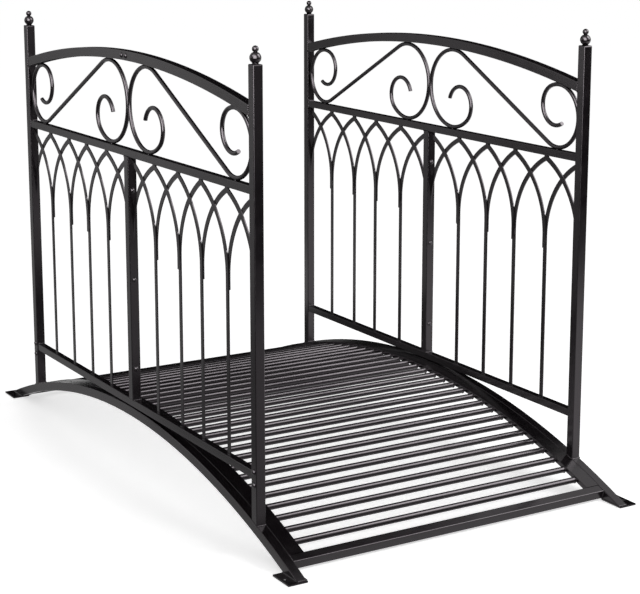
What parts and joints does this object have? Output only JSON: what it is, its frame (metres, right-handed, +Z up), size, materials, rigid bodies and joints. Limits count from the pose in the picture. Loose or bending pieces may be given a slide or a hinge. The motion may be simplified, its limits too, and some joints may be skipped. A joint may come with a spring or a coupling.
{
  "type": "moon bridge",
  "caption": "Arched steel garden footbridge with a deck of round rods and railings of pointed arches and scrolls between square posts with ball finials.",
  "frame": {"origin": "middle of the bridge on the ground plane, under the foot plates", "axes": "+Y along the bridge, +X across it to the right-hand railing, +Z up"},
  "size_m": [1.02, 1.7734, 1.1956],
  "materials": {
    "powder_coat": "semi-gloss black powder coat"
  },
  "bodies": {
    "root": {"beam_left": "powder_coat", "beam_right": "powder_coat", "bottom_rail_left": "powder_coat", "bottom_rail_right": "powder_coat", "centre_post_left": "powder_coat", "centre_post_right": "powder_coat", "deck_bar_back": "powder_coat", "deck_bar_front": "powder_coat", "deck_rods": "powder_coat", "deck_side_left": "powder_coat", "deck_side_right": "powder_coat", "finial_back_left": "powder_coat", "finial_back_right": "powder_coat", "finial_front_left": "powder_coat", "finial_front_right": "powder_coat", "foot_plate_back_left": "powder_coat", "foot_plate_back_right": "powder_coat", "foot_plate_front_left": "powder_coat", "foot_plate_front_right": "powder_coat", "handrail_back_left": "powder_coat", "handrail_back_right": "powder_coat", "handrail_front_left": "powder_coat", "handrail_front_right": "powder_coat", "lattice_back_left": "powder_coat", "lattice_back_right": "powder_coat", "lattice_front_left": "powder_coat", "lattice_front_right": "powder_coat", "mid_rail_left": "powder_coat", "mid_rail_right": "powder_coat", "post_back_left": "powder_coat", "post_back_right": "powder_coat", "post_front_left": "powder_coat", "post_front_right": "powder_coat", "scroll_back_left": "powder_coat", "scroll_back_right": "powder_coat", "scroll_front_left": "powder_coat", "scroll_front_right": "powder_coat"}
  },
  "joints": []
}
